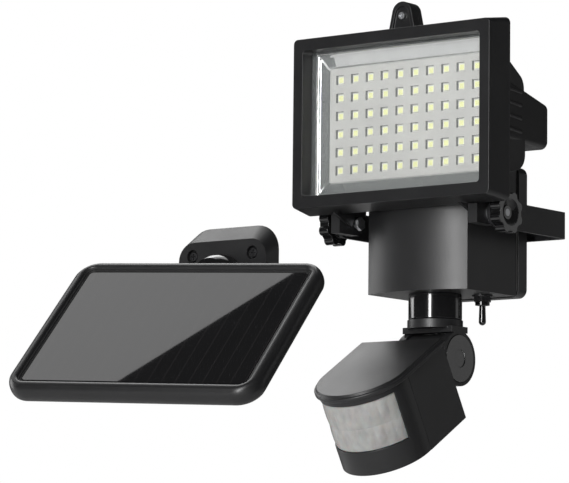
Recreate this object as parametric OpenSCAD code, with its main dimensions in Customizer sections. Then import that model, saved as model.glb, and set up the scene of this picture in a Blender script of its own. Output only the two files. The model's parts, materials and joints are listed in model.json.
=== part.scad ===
// Solar flood light: a tilting lamp head on a U bracket, a battery box with a
// motion sensor below it, and a solar panel on its own ball-jointed wall base.
// Millimetres. Origin at the middle of the bracket's wall face, level with the
// tilt axis. +X to the right of a person who faces the lamp, +Y into the wall,
// +Z up.

/* [Bracket] */
// Distance from the wall to the tilt axis
arm_reach = 100; // [96:1:125]
// Outside width across the two arms
bracket_w = 150; // [146:1:156]
// Height of the strap
strap_h = 21.5; // [18:0.5:24]
// Thickness of the strap
strap_t = 3; // [2:0.5:4]
// Radius of the two wall screw holes
wall_hole_r = 2.75; // [2:0.25:3.5]
// Distance between the two wall screw holes
wall_hole_gap = 124; // [120:1:126]
// Radius of the tilt bolts
bolt_r = 3; // [2.5:0.25:3.5]

/* [Lamp head] */
// Width of the bezel's front face
bezel_w = 190; // [180:1:220]
// Height of the bezel's front face
bezel_h = 137; // [128:1:150]
// Depth of the bezel
bezel_d = 24; // [22:1:30]
// How much each side of the bezel grows towards its back edge
bezel_flare = 3.5; // [0:0.5:5]
// Width of the bezel's front border
border = 9.5; // [8:0.5:14]
// Distance from the tilt axis forward to the bezel's front face
bezel_ahead = 42; // [42:1:50]
// Height of the bezel's lower edge above the tilt axis
bezel_rise = 10; // [10:1:16]
// Distance from the tilt axis back to the rear of the housing
head_rear = 78; // [70:1:82]
// Width of the housing's rear face
rear_w = 140; // [110:1:150]
// Wall thickness of the housing
head_wall = 2.6; // [2:0.2:3.4]
// Depth of the glass behind the bezel's front face
glass_setback = 13; // [8:1:13]
// Thickness of the glass
glass_t = 3; // [2:0.5:4]
// Length of each side rib on the housing
rib_l = 44; // [20:1:46]

/* [LEDs] */
// LEDs in a row
led_cols = 10; // [4:1:11]
// Rows of LEDs
led_rows = 6; // [2:1:6]
// Distance between neighbouring LEDs
led_pitch = 14.7; // [12:0.1:15]
// Side of one square LED
led_side = 5; // [3:0.5:6]
// Side of one window in the mask
window_side = 7.4; // [6.5:0.1:9]
// Thickness of the mask
mask_t = 3; // [2:0.5:4]

/* [Knobs] */
// Outer radius over the lobes
knob_r = 17; // [14:0.5:17]
// Thickness of the grip
knob_t = 9; // [7:0.5:12]
// Number of lobes
knob_lobes = 8; // [5:1:10]

/* [Battery box] */
// Width of the box
box_w = 96; // [90:1:100]
// Distance from the wall to the back of the box
box_gap = 20; // [14:1:22]
// Depth of the back shell
back_d = 13; // [10:1:16]
// Depth of the front shell at its sides
front_d = 69; // [66:1:70]
// How far the curved front bulges
front_bulge = 12; // [4:1:12]
// Height of the bottom below the tilt axis
box_drop = 58; // [56:1:70]
// Height of the rear top above the tilt axis
box_top = 46; // [40:1:47]
// Height of the front top above the tilt axis
box_brow = 9; // [6:1:12]
// Wall thickness of both shells
box_wall = 2.5; // [2:0.1:3]
// Width of the battery
battery_w = 70; // [50:1:72]
// Depth of the battery
battery_d = 38; // [25:1:38]
// Height of the battery
battery_h = 60; // [40:1:60]

/* [Sensor] */
// Distance from the wall to the swivel axis
swivel_out = 77; // [74:1:84]
// Radius of the collar under the box
collar_r = 21.4; // [20:0.2:23]
// Height of the collar
collar_h = 20.5; // [16:0.5:26]
// Height of the sensor's tilt axis below the lamp's tilt axis
sensor_drop = 110; // [110:1:120]
// Downward pitch of the sensor at rest
sensor_pitch = 30.6; // [20:0.2:40]
// Radius of the hinge barrel's cheeks
cheek_r = 22; // [20:0.5:23]
// Width of the sensor
sensor_w = 76; // [70:1:84]
// Distance from the tilt axis to the sensor's rear plane
sensor_back = 34; // [31:1:38]
// Distance from the tilt axis to the sensor's nose
sensor_nose = 130; // [116:1:134]
// Height of the lens
lens_h = 39.5; // [32:0.5:41]
// Height of the lens's lower edge below the tilt axis
lens_drop = 15.5; // [10:0.5:18]
// Height of the rim between the lens and the cover
rim_h = 4.5; // [3:0.5:8]
// Height of the band under the lens
band_h = 20; // [16:1:24]
// Thickness of the top cover
cover_h = 5.5; // [5:0.5:8]
// How far the top cover stands proud
cover_lip = 2.5; // [1:0.5:4]
// Wall thickness of the sensor shells
sensor_wall = 2.2; // [1.8:0.1:2.6]

/* [Switch] */
// Distance of the toggle switch to the right of the middle
switch_x = 28; // [26:1:32]
// Distance from the wall to the toggle switch
switch_out = 51.5; // [48:0.5:52]
// Length of the lever below its nut
lever_l = 14; // [10:0.5:16]

/* [Solar panel] */
// Width of the frame's inner opening
pane_w = 207; // [180:1:216]
// Height of the frame's inner opening
pane_h = 147.5; // [130:0.5:152]
// Width of the frame's rounded border
frame_w = 13.5; // [12:0.5:16]
// Thickness of the frame
frame_t = 18; // [16:0.5:20]
// Outer corner radius of the frame
frame_r = 22; // [18:1:26]
// Distance of the panel's middle down the slope from the ball
panel_down = 112; // [108:1:126]
// Distance of the frame's front face ahead of the ball
panel_ahead = 43.5; // [42:0.5:50]
// Sideways distance of the panel's middle from its arm
panel_side = 9; // [-20:1:20]
// Turn of the panel about the upright axis at rest
panel_pan = 9.3; // [-12:0.1:12]
// Slope of the panel at rest
panel_tilt = 42.7; // [30:0.1:55]
// Sideways lean of the panel at rest
panel_lean = 3; // [-4:0.1:4]

/* [Panel base] */
// Place of the ball along the wall from the lamp's middle
ball_x = -263; // [-300:1:-250]
// Distance of the ball's middle from the wall
ball_out = 24; // [24:0.5:30]
// Height of the ball's middle below the lamp's tilt axis
ball_drop = 30; // [0:1:60]
// Radius of the ball
ball_r = 20; // [17:0.5:20]
// Width of the base's front face
base_w = 95; // [90:1:110]
// Height of the base's front face
base_h = 74; // [70:1:84]
// Depth of the base
base_d = 20; // [17:1:22]
// How much the base grows towards the wall, above and below
base_draft = 13; // [6:1:16]
// Distance between the two clamp screws, and between the two wall holes below
base_gap = 65; // [60:1:70]

/* [Hidden] */

$fn = 64;
hull_fn = 32;
tiny = 0.01;
fit = 0.05;
gap = 0.3;
black = "#1b1b1d";
dark = "#101012";
steel = "#b9bcc0";

// Lamp head, measured from the tilt axis
y_front = -bezel_ahead;
y_rim = y_front + bezel_d;
head_z = bezel_rise + bezel_h / 2;
open_w = bezel_w - 2 * border;
open_h = bezel_h - 2 * border;
seat = 4;
y_glass = y_front + glass_setback;
gasket_t = 1;
y_reflector = y_glass + glass_t;
lip_t = 1.5;
y_board = y_front + 27;
y_mask = y_board - mask_t;
field_w = (led_cols - 1) * led_pitch + window_side;
field_h = (led_rows - 1) * led_pitch + window_side;
mask_w = min(field_w + 12, open_w - 18);
mask_h = min(field_h + 12, open_h - 18);
board_edge = 2.5;
board_t = 1.6;
board_screw_r = 1.25;
corner_x = mask_w / 2 - 3 + board_edge;
corner_z = mask_h / 2 - 3 + board_edge;
block_w = bezel_w - 14;
block_turn = atan((block_w - rear_w) / 2 / (head_rear - y_rim));
block_low = 58;
block_high = 108;
rear_low = 60;
rear_high = 97;
hump_back = 20;
screw_z = 13;
lug_w = 26;
lug_top = 24.5;
lug_t = 6;
flange_t = 2.5;

// Tilt axis stack along X
arm_out = bracket_w / 2;
arm_in = arm_out - strap_t;
washer_t = 1.3;
ear_out = arm_in - washer_t - 0.1;
ear_t = 8.5;
ear_in = ear_out - ear_t;
hub_t = 3.4;
knob_in = arm_out + 0.1;
knob_out = knob_in + hub_t + knob_t;
bolt_head_t = 3;
nut_l = 6;

// Battery box, measured in the row frame
y_box_back = -box_gap;
y_seam = y_box_back - back_d;
y_box_side = y_seam - front_d;
seal_t = 1;
bulge_r = (pow(box_w / 2, 2) + pow(front_bulge, 2)) / (2 * front_bulge);
post_xs = [-box_w / 2 + 8, box_w / 2 - 8];
post_zs = [-box_drop + 9, box_top - 9];
post_r = 4;
screw_r = 1.6;
spacer_x = 30;
y_battery = y_seam - 3 - battery_d;
z_battery = -box_drop + box_wall + 20;
shelf_t = 3;
shelf_lip = 2.5;
gland_x = -28;
gland_r = 5;
socket_y = -70;
socket_z = -28;
socket_r = 4;

// Sensor
z_collar = -box_drop;
ring_h = 7;
ring_gap = 0.4;
z_ring = z_collar - collar_h - ring_gap;
stem_r = 12;
cheek_t = 6.5;
cheek_x = 17.5;
barrel_x = cheek_x - gap;
barrel_r = cheek_r - 2;
pin_r = 3;
seam_y = 88;
round_y = sensor_nose - sensor_w / 2;
lens_z = -lens_drop;
sensor_low = lens_z - band_h;
sensor_high = lens_z + lens_h + rim_h;
lens_t = 1.2;
lens_half_angle = 68;
lens_steps = 22;
dial_r = 3.6;
dial_xs = [-12, 12];
dial_y = -62;

// Switch
bush_r = 5.8;
nut_r = 7.6;
nut_t = 4;
lever_r = 2.9;
z_lever = -box_drop - 6;

// Solar panel
pane_t = 3;
pane_step = 3;
pane_lip = 4;
cell_t = 1;
frame_out_w = pane_w + 2 * frame_w;
frame_out_h = pane_h + 2 * frame_w;
cover_t = 2.5;
z_pane = panel_ahead - pane_step - pane_t;
z_panel_back = panel_ahead - frame_t;
tongue_t = 9;
tongue_r = 9.5;
foot_y = -panel_down + 18;
foot_w = 44;
foot_l = 50;
foot_t = 3.5;
foot_gap_x = 30;
foot_gap_y = 36;
gland_side = 60;
gland_up = 20;

// Panel base
shell_t = 4.7;
plate_t = 3;
window_half = 14.5;
pin_ball_r = 2.5;
base_screw_z = 25;

module plate_y(y, t) {
    translate([0, y + t, 0]) rotate([90, 0, 0]) linear_extrude(t) children();
}

module plate_x(x, t) {
    translate([x, 0, 0]) rotate([90, 0, 90]) linear_extrude(t) children();
}

module rounded(w, h, r) {
    offset(r) square([w - 2 * r, h - 2 * r], center = true);
}

module in_head() {
    translate([0, -arm_reach, 0]) children();
}

module in_sensor() {
    translate([0, -swivel_out, -sensor_drop]) rotate([sensor_pitch, 0, 0]) children();
}

module at_ball() {
    translate([ball_x, -ball_out, -ball_drop]) children();
}

module in_panel() {
    at_ball() rotate([0, 0, panel_pan]) rotate([panel_tilt, 0, 0]) rotate([0, panel_lean, 0])
        children();
}

// The panel's middle, level with the ball
module at_pane() {
    in_panel() translate([panel_side, -panel_down, 0]) children();
}

module at_foot_screws() {
    for (x = [-1, 1], y = [-1, 1])
        translate([x * foot_gap_x / 2, foot_y + y * foot_gap_y / 2, z_panel_back]) children();
}

module at_post_corners() {
    for (x = post_xs, z = post_zs) translate([x, 0, z]) children();
}

module rod_x(x, l, r) {
    translate([x, 0, 0]) rotate([0, 90, 0]) cylinder(h = l, r = r);
}

module rod_y(y, l, r) {
    translate([0, y + l, 0]) rotate([90, 0, 0]) cylinder(h = l, r = r);
}

module cross_slot(r, depth) {
    for (a = [0, 90]) rotate([0, 0, a]) cube([2 * r, 0.9, 2 * depth], center = true);
}

// A pan-head screw along Z, its head's top at z = 0 and its shank below
module pan_screw(head_r, head_h, shank_r, shank_l) {
    difference() {
        translate([0, 0, -head_h]) cylinder(h = head_h, r1 = head_r, r2 = head_r * 0.8);
        cross_slot(head_r * 0.6, head_h * 0.6);
    }
    translate([0, 0, -head_h - shank_l]) cylinder(h = shank_l + tiny, r = shank_r);
}

// ---------------------------------------------------------------- bracket

module bracket() {
    bend = 5;
    color(black) difference() {
        union() {
            translate([0, 0, -strap_h / 2]) linear_extrude(strap_h) difference() {
                translate([0, -arm_reach / 2 - bend / 2]) square([bracket_w, arm_reach + bend],
                    center = true);
                translate([0, -arm_reach / 2 - bend / 2 - strap_t])
                    offset(bend - strap_t) offset(-(bend - strap_t))
                    square([bracket_w - 2 * strap_t, arm_reach + bend], center = true);
                translate([-bracket_w, -arm_reach - 2 * bend]) square([2 * bracket_w, 2 * bend]);
                for (s = [-1, 1]) scale([s, 1]) difference() {
                    translate([bracket_w / 2 - bend, -bend]) square(2 * bend);
                    translate([bracket_w / 2 - bend, -bend]) circle(bend);
                }
            }
            for (x = [-arm_out, arm_in]) translate([0, -arm_reach, 0])
                rod_x(x, strap_t, strap_h / 2);
        }
        translate([0, -arm_reach, 0]) rod_x(-bracket_w, 2 * bracket_w, bolt_r + 0.2);
        for (s = [-1, 1]) translate([s * wall_hole_gap / 2, 0, 0])
            rod_y(-2 * strap_t, 4 * strap_t, wall_hole_r);
        for (s = [-1, 1]) translate([s * spacer_x, 0, 0]) rod_y(-2 * strap_t, 4 * strap_t, 2.2);
    }
}

// -------------------------------------------------------------- lamp head

module head_slab(w, low, high, r, y) {
    translate([0, 0, (low + high) / 2]) plate_y(y, tiny) rounded(w, high - low, r, $fn = hull_fn);
}

module housing_block(inset) {
    hull() {
        head_slab(block_w - 2 * inset, block_low + inset, block_high - inset, 4, y_rim);
        head_slab(rear_w - 2 * inset, rear_low + inset, rear_high - inset, 6, head_rear - inset);
    }
}

module housing_humps(inset) {
    top_r = 12 - inset;
    low_r = 14 - inset;
    hump_w = bezel_w - 34 - 2 * inset;
    hull() {
        head_slab(bezel_w - 24 - 2 * inset, bezel_rise + 14 + inset,
            bezel_rise + bezel_h - 9 - inset, 6, y_rim);
        translate([0, hump_back, block_high - 6]) rod_x(-hump_w / 2, hump_w, top_r, $fn = hull_fn);
        translate([0, hump_back, block_low - 8]) rod_x(-hump_w / 2, hump_w, low_r, $fn = hull_fn);
    }
}

module ear_profile() {
    difference() {
        union() {
            polygon([[-22, -9], [4, -9], [13, -1], [15, 27], [y_rim + gap, 27],
                [y_rim + gap, bezel_rise - bezel_flare - gap], [-22, bezel_rise - bezel_flare - gap]]);
            circle(9);
        }
        circle(bolt_r + fit);
    }
}

module gusset_profile() {
    low = bezel_rise - bezel_flare - gap;
    polygon([[-33, low], [y_rim + gap, low], [y_rim + gap, 27], [10, 27], [8, 6], [-4, 6], [-9, -3]]);
}

module lug_profile(w) {
    hull() {
        translate([0, lug_top - w / 2 * 0.72]) circle(w / 2 * 0.72);
        translate([-w / 2, -6]) square([w, 6]);
    }
}

module housing() {
    color(black) in_head() {
        difference() {
            union() {
                housing_block(0);
                housing_humps(0);
                translate([0, 0, head_z]) plate_y(y_rim, flange_t)
                    rounded(bezel_w + 2, bezel_h + 2, 4);
                translate([0, 0, bezel_rise + bezel_h]) plate_y(y_rim, lug_t) lug_profile(lug_w);
                for (s = [-1, 1], i = [0:3])
                    translate([s * (block_w / 2 - 0.6), y_rim, block_low + 9 + i * 10.5])
                        rotate([0, 0, s * block_turn]) rod_y(0, rib_l, 1.8);
            }
            housing_block(head_wall);
            housing_humps(head_wall);
            translate([0, 0, head_z]) plate_y(y_rim - 1, flange_t + 2)
                rounded(open_w + 2 * seat - 8, open_h + 2 * seat - 14, 4);
            translate([0, 0, bezel_rise + bezel_h + screw_z]) rod_y(y_rim - 1, lug_t + 2, 1.6);
            translate([0, 0, rear_low + 12]) rod_y(head_rear - 8, 16, 5 + fit);
        }
        for (s = [-1, 1]) scale([s, 1, 1]) {
            plate_x(ear_in, ear_t) ear_profile();
            plate_x(ear_in - 2.5, 2.5) gusset_profile();
        }
        translate([0, 0, head_z]) at_board_corners() difference() {
            rod_y(y_board + board_t, 8, 3);
            rod_y(y_board + board_t - 1, 8, board_screw_r + fit);
        }
    }
}

module bezel() {
    pocket_w = open_w + 2 * seat;
    pocket_h = open_h + 2 * seat;
    color(dark) in_head() difference() {
        union() {
            hull() {
                translate([0, 0, head_z]) plate_y(y_front, 1.5) rounded(bezel_w, bezel_h, 4,
                    $fn = hull_fn);
                translate([0, 0, head_z]) plate_y(y_rim - 1, 1)
                    rounded(bezel_w + 2 * bezel_flare, bezel_h + 2 * bezel_flare, 5, $fn = hull_fn);
            }
            translate([0, 0, bezel_rise + bezel_h]) difference() {
                plate_y(y_rim - 8, 8) lug_profile(lug_w);
                plate_y(y_rim - 9, 3) translate([0, -1]) offset(-3) lug_profile(lug_w);
            }
        }
        translate([0, 0, head_z]) plate_y(y_front - 1, glass_setback + 1) rounded(open_w, open_h, 3);
        translate([0, 0, head_z]) plate_y(y_glass - gasket_t, bezel_d) rounded(pocket_w, pocket_h, 4);
        translate([0, 0, bezel_rise + bezel_h + screw_z]) rod_y(y_rim - 10, 12, 1.7);
    }
}

module pane_outline(clear) {
    rounded(open_w + 2 * seat - 2 * clear, open_h + 2 * seat - 2 * clear, 4 - clear);
}

module glass_gasket() {
    color("#2a2a2c") in_head() translate([0, 0, head_z]) plate_y(y_glass - gasket_t, gasket_t)
        difference() {
            pane_outline(0.2);
            rounded(open_w + 1, open_h + 1, 3);
        }
}

module glass() {
    color([0.85, 0.9, 0.92, 0.3]) in_head() translate([0, 0, head_z]) plate_y(y_glass, glass_t)
        pane_outline(0.5);
}

// The funnel's walls slope from the front opening to the mask; it overshoots
// both ends by the same slope when it is used as a cutter
module reflector_funnel(grow, over) {
    depth = y_mask - y_reflector - lip_t;
    step_x = (open_w - mask_w) / depth * over;
    step_z = (open_h - mask_h) / depth * over;
    hull() {
        translate([0, 0, head_z]) plate_y(y_reflector + lip_t - over, tiny)
            square([open_w + 2 * grow + step_x, open_h + 2 * grow + step_z], center = true);
        translate([0, 0, head_z]) plate_y(y_mask + over - tiny, tiny)
            square([mask_w + 2 * grow - step_x, mask_h + 2 * grow - step_z], center = true);
    }
}

module reflector() {
    sheet = 1;
    color("#d8dadd") in_head() difference() {
        union() {
            reflector_funnel(sheet, 0);
            translate([0, 0, head_z]) plate_y(y_reflector, lip_t) pane_outline(0.5);
        }
        reflector_funnel(0, lip_t + 1);
    }
}

module at_board_corners() {
    for (x = [-1, 1], z = [-1, 1]) translate([x * corner_x, 0, z * corner_z]) children();
}

module led_grid() {
    for (i = [0:led_cols - 1], j = [0:led_rows - 1])
        translate([(i - (led_cols - 1) / 2) * led_pitch, (j - (led_rows - 1) / 2) * led_pitch])
            children();
}

module board_outline() {
    difference() {
        square([mask_w + 2 * board_edge, mask_h + 2 * board_edge], center = true);
        for (x = [-1, 1], z = [-1, 1]) translate([x * corner_x, z * corner_z])
            circle(board_screw_r + fit);
    }
}

module led_mask() {
    color("#d9d7cf") in_head() translate([0, 0, head_z]) difference() {
        plate_y(y_mask, mask_t) difference() {
            square([mask_w, mask_h], center = true);
            led_grid() square(window_side, center = true);
        }
        at_board_corners() rod_y(y_board - 1.7, 5, 2.8);
    }
}

module led_board() {
    color("#e4e2da") in_head() translate([0, 0, head_z]) plate_y(y_board, board_t) board_outline();
}

module leds() {
    color("#f2eea0") in_head() translate([0, 0, head_z]) plate_y(y_board - 1.2, 1.2) led_grid()
        square(led_side, center = true);
}

module board_screws() {
    color(steel) in_head() translate([0, y_board - 1.4, head_z]) at_board_corners()
        rotate([90, 0, 0]) pan_screw(2.4, 1.4, board_screw_r, 7);
}

module tab_screw() {
    color(steel) in_head() translate([0, y_rim - 8.3, bezel_rise + bezel_h + screw_z])
        rotate([90, 0, 0]) pan_screw(3.5, 2.3, 1.6, 13);
}

module pivot_bolts() {
    color(steel) in_head() for (s = [-1, 1]) scale([s, 1, 1]) {
        rod_x(ear_in - 2.5 - bolt_head_t, bolt_head_t, 5.5, $fn = 6);
        rod_x(ear_in - 2.5 - tiny, knob_in + hub_t + nut_l - ear_in + 2.5, bolt_r);
    }
}

module pivot_washers() {
    color("#6d6f73") in_head() for (s = [-1, 1]) scale([s, 1, 1]) difference() {
        rod_x(ear_out, washer_t, 9);
        rod_x(ear_out - 1, washer_t + 2, bolt_r + fit);
    }
}

module gland_body(r, l) {
    difference() {
        union() {
            cylinder(h = 3, r = r * 1.45, $fn = 6);
            translate([0, 0, 3]) cylinder(h = l - 3, r1 = r * 1.2, r2 = r * 0.85);
            translate([0, 0, -7]) cylinder(h = 7 + tiny, r = r);
        }
        translate([0, 0, -8]) cylinder(h = l + 10, r = r * 0.5);
    }
}

module lamp_gland() {
    color(black) in_head() translate([0, head_rear + tiny, rear_low + 12]) rotate([-90, 0, 0])
        gland_body(5, 12);
}

// ------------------------------------------------------------------ knobs

module knob_outline() {
    circle(knob_r - 2.4);
    for (i = [0:knob_lobes - 1]) rotate((i + 0.5) * 360 / knob_lobes) translate([knob_r - 4, 0])
        circle(4);
}

module knob() {
    color(dark) difference() {
        union() {
            rod_x(knob_in, hub_t + 1, 10);
            plate_x(knob_in + hub_t, knob_t) knob_outline();
        }
        translate([knob_out + tiny, 0, 0]) rotate([0, -90, 0])
            cylinder(h = 4, r1 = 11.3, r2 = 5);
        rod_x(knob_in - 1, knob_t + hub_t + 2, bolt_r + 2.5);
    }
}

module knob_nut() {
    color("#c9a44a") difference() {
        rod_x(knob_in + 1, hub_t + nut_l - 1, bolt_r + 2.5);
        rod_x(knob_in - 1, hub_t + nut_l + 2, bolt_r + fit);
    }
}

module knob_right() {
    in_head() knob();
}

module knob_left() {
    in_head() scale([-1, 1, 1]) knob();
}

module knob_nuts_right() {
    in_head() knob_nut();
}

module knob_nuts_left() {
    in_head() scale([-1, 1, 1]) knob_nut();
}

// ------------------------------------------------------------ battery box

module box_plan(inset) {
    intersection() {
        translate([-box_w / 2 + inset, y_box_side - front_bulge - 1])
            square([box_w - 2 * inset, front_d + front_bulge + 1]);
        translate([0, y_box_side - front_bulge + bulge_r]) circle(bulge_r - inset, $fn = 128);
    }
}

module box_side_profile(inset) {
    offset(4) offset(-4 - inset) polygon([[y_box_side - front_bulge - 5, -box_drop],
        [y_seam + 20, -box_drop], [y_seam + 20, box_top - 2], [-50, box_top - 2],
        [-95, box_brow], [y_box_side - front_bulge - 5, box_brow]]);
}

module box_front_solid(inset) {
    intersection() {
        translate([0, 0, -box_drop - 1]) linear_extrude(box_drop + box_top + 2) box_plan(inset);
        plate_x(-box_w, 2 * box_w) box_side_profile(inset);
    }
}

module box_front() {
    color(black) difference() {
        box_front_solid(0);
        difference() {
            box_front_solid(box_wall);
            at_post_corners() rod_y(y_seam - 14, 20, post_r + 2);
        }
        translate([-box_w, y_seam - tiny, -box_drop - 5]) cube([2 * box_w, 60, 200]);
        at_post_corners() rod_y(y_seam - 12, 20, screw_r);
        translate([0, -swivel_out, -box_drop - 5]) cylinder(h = 12, r = stem_r + fit);
        translate([switch_x, -switch_out, -box_drop - 5]) cylinder(h = 12, r = bush_r + fit);
        translate([gland_x, -switch_out, -box_drop - 5]) cylinder(h = 12, r = gland_r + fit);
        translate([0, socket_y, socket_z]) rod_x(-box_w / 2 - 10, 20, socket_r + fit);
    }
}

module back_outline(grow) {
    translate([0, (box_top - box_drop) / 2])
        rounded(box_w + 3 + 2 * grow, box_top + box_drop + 1.5 + 2 * grow, 7 + grow);
}

module box_back() {
    color(black) difference() {
        plate_y(y_seam + seal_t, back_d - seal_t) back_outline(0);
        difference() {
            plate_y(y_seam, back_d - box_wall) back_outline(-box_wall - 1.5);
            at_post_corners() rod_y(y_seam - 1, back_d + 2, post_r + 1);
        }
        at_post_corners() rod_y(y_seam - 1, back_d + 2, screw_r + 0.3);
        at_post_corners() rod_y(y_box_back - 3, 4, 3.4);
        for (s = [-1, 1]) translate([s * spacer_x, 0, 0]) rod_y(y_box_back - 6, 8, 1.8);
    }
    color(black) for (s = [-1, 1]) translate([s * spacer_x, 0, 0]) difference() {
        rod_y(y_box_back - tiny, box_gap - strap_t, 6);
        rod_y(y_box_back - 1, box_gap + 2, 1.8);
    }
}

module box_seal() {
    color("#38383a") plate_y(y_seam, seal_t) difference() {
        back_outline(-1);
        back_outline(-box_wall - 2);
    }
}

module box_screws() {
    color(steel) at_post_corners() translate([0, y_box_back - 0.6, 0]) rotate([-90, 0, 0])
        pan_screw(3.1, 2, screw_r - 0.1, back_d + 6);
    color(steel) for (s = [-1, 1]) translate([s * spacer_x, -strap_t, 0]) rotate([90, 0, 0])
        cylinder(h = box_gap - strap_t + 3, r = 1.7);
}

module battery() {
    tag_h = 5;
    top = z_battery + battery_h - tag_h;
    color("#3c4046") translate([-battery_w / 2, y_battery, z_battery])
        cube([battery_w, battery_d, battery_h - tag_h]);
    color(steel) for (x = [-20, 20]) translate([x - 3, y_battery + 8, top - tiny])
        cube([6, 0.8, tag_h]);
}

// A tray across the box that holds the battery clear of the switch below it
module battery_shelf() {
    shelf_w = box_w - 2 * box_wall - 0.2;
    color("#2c2d30") difference() {
        translate([-shelf_w / 2, y_battery - 2, z_battery - shelf_t - 0.1])
            cube([shelf_w, battery_d + 4, shelf_t + shelf_lip]);
        translate([-battery_w / 2 - gap, y_battery - gap, z_battery - 0.1])
            cube([battery_w + 2 * gap, battery_d + 2 * gap, 20]);
        translate([-25, y_battery + 6, z_battery - 20]) cube([50, battery_d - 12, 40]);
    }
}

module charge_board() {
    color("#1f6b3a") translate([-32, y_seam + 4, -38]) cube([64, 1.6, 70]);
}

module board_parts() {
    color("#2b2b30") translate([0, y_seam + 4, 0]) {
        translate([-24, -6, 10]) cube([18, 6, 14]);
        translate([4, -2, 8]) cube([14, 2, 10]);
        translate([22, 0, -20]) rotate([90, 0, 0]) cylinder(h = 6, r = 4);
        translate([10, 0, -20]) rotate([90, 0, 0]) cylinder(h = 6, r = 4);
    }
}

module box_gland() {
    color(black) translate([gland_x, -switch_out, -box_drop]) rotate([180, 0, 0])
        gland_body(gland_r, 12);
}

module charge_socket() {
    color(dark) translate([-box_w / 2, socket_y, socket_z]) rotate([0, -90, 0]) difference() {
        union() {
            cylinder(h = 2.5, r = 6.5);
            translate([0, 0, -box_wall - 8]) cylinder(h = box_wall + 8 + tiny, r = socket_r);
        }
        translate([0, 0, -8]) cylinder(h = 12, r = 2.75);
    }
}

// ----------------------------------------------------------------- sensor

module sensor_collar() {
    color(dark) translate([0, -swivel_out, 0]) {
        difference() {
            union() {
                translate([0, 0, z_collar - collar_h]) cylinder(h = collar_h, r = collar_r);
                translate([0, 0, z_collar - tiny]) cylinder(h = box_wall + 6, r = stem_r);
            }
            translate([0, 0, z_collar - collar_h - 1]) cylinder(h = collar_h + 20, r = 8 + fit);
        }
    }
}

module collar_nut() {
    color(black) translate([0, -swivel_out, z_collar + box_wall]) difference() {
        cylinder(h = 4, r = stem_r + 5, $fn = 6);
        translate([0, 0, -1]) cylinder(h = 6, r = stem_r + fit);
    }
}

module swivel_fork() {
    color(black) translate([0, -swivel_out, 0]) {
        difference() {
            union() {
                translate([0, 0, z_ring - ring_h]) cylinder(h = ring_h, r = collar_r + 0.8);
                translate([0, 0, z_ring - tiny]) cylinder(h = collar_h + box_wall + 7, r = 8);
                translate([-cheek_x - cheek_t, -11, -sensor_drop + barrel_r + 0.5])
                    cube([2 * (cheek_x + cheek_t), 22, z_ring - ring_h + sensor_drop - barrel_r + 1]);
                translate([0, 0, -sensor_drop]) for (x = [-cheek_x - cheek_t, cheek_x])
                    rod_x(x, cheek_t, cheek_r);
            }
            translate([0, 0, -sensor_drop - 60]) cylinder(h = 200, r = 5);
            translate([0, 0, -sensor_drop]) rod_x(-barrel_x - gap, 2 * barrel_x + 2 * gap, barrel_r + 0.5);
            translate([0, 0, -sensor_drop]) rod_x(cheek_x + cheek_t - 2, 4, cheek_r - 3);
            translate([0, 0, -sensor_drop]) rod_x(-60, 120, pin_r + fit);
        }
    }
}

module hinge_cap() {
    color(dark) translate([0, -swivel_out, -sensor_drop]) difference() {
        rod_x(cheek_x + cheek_t - 2, 2.4, cheek_r - 3.2);
        rod_x(cheek_x + cheek_t + 3.4 - 2 - 1.6, 4, 7);
    }
}

module hinge_pin() {
    color(steel) translate([0, -swivel_out, -sensor_drop]) {
        rod_x(-cheek_x - cheek_t - 2, 2, 5.4);
        rod_x(-cheek_x - cheek_t - tiny, 2 * cheek_x + 2 * cheek_t - 2.1, pin_r);
    }
}

module sensor_plan(inset) {
    translate([0, -round_y]) circle(sensor_w / 2 - inset, $fn = 128);
    translate([-sensor_w / 2 + inset, -round_y]) square([sensor_w - 2 * inset, round_y - sensor_back - inset]);
}

module sensor_slice(inset, low, high, y_from, y_to) {
    translate([0, 0, low]) linear_extrude(high - low) intersection() {
        sensor_plan(inset);
        translate([-sensor_w, y_from]) square([2 * sensor_w, y_to - y_from]);
    }
}

module sensor_rear() {
    floor_t = 2.4;
    color(black) in_sensor() difference() {
        union() {
            difference() {
                sensor_slice(0, sensor_low, sensor_high, -seam_y, 0);
                sensor_slice(sensor_wall, sensor_low + floor_t, sensor_high + 1, -seam_y - 1, -sensor_back - 4);
            }
            translate([-barrel_x, -sensor_back - 1, -15]) cube([2 * barrel_x, sensor_back + 1, 30]);
            rod_x(-barrel_x, 2 * barrel_x, barrel_r);
        }
        rod_x(-60, 120, pin_r + fit);
        rod_x(-6, 12, barrel_r - 5);
        translate([0, -sensor_back - 10, 0]) rod_y(0, 60, 4);
        for (x = dial_xs) translate([x, dial_y, sensor_low - 1]) cylinder(h = 6, r = dial_r + 0.3);
    }
}

module lens_sector(r) {
    polygon(concat([[0, 0]], [for (i = [0:lens_steps])
        let (a = lens_half_angle * (2 * i / lens_steps - 1)) [r * sin(a), -r * cos(a)]]));
}

module sensor_front() {
    floor_t = 2.4;
    color(black) in_sensor() difference() {
        sensor_slice(0, sensor_low, sensor_high, -sensor_nose - 1, -seam_y);
        sensor_slice(sensor_wall, sensor_low + floor_t, sensor_high + 1, -sensor_nose - 1, 1);
        translate([0, -round_y, lens_z]) linear_extrude(lens_h) lens_sector(sensor_w);
    }
}

module sensor_lens() {
    color("#e6e4de") in_sensor() translate([0, -round_y, lens_z + gap])
        linear_extrude(lens_h - 2 * gap) intersection() {
            difference() {
                circle(sensor_w / 2 - 0.4, $fn = 128);
                circle(sensor_w / 2 - 0.4 - lens_t, $fn = 128);
            }
            lens_sector(sensor_w);
        }
}

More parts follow.
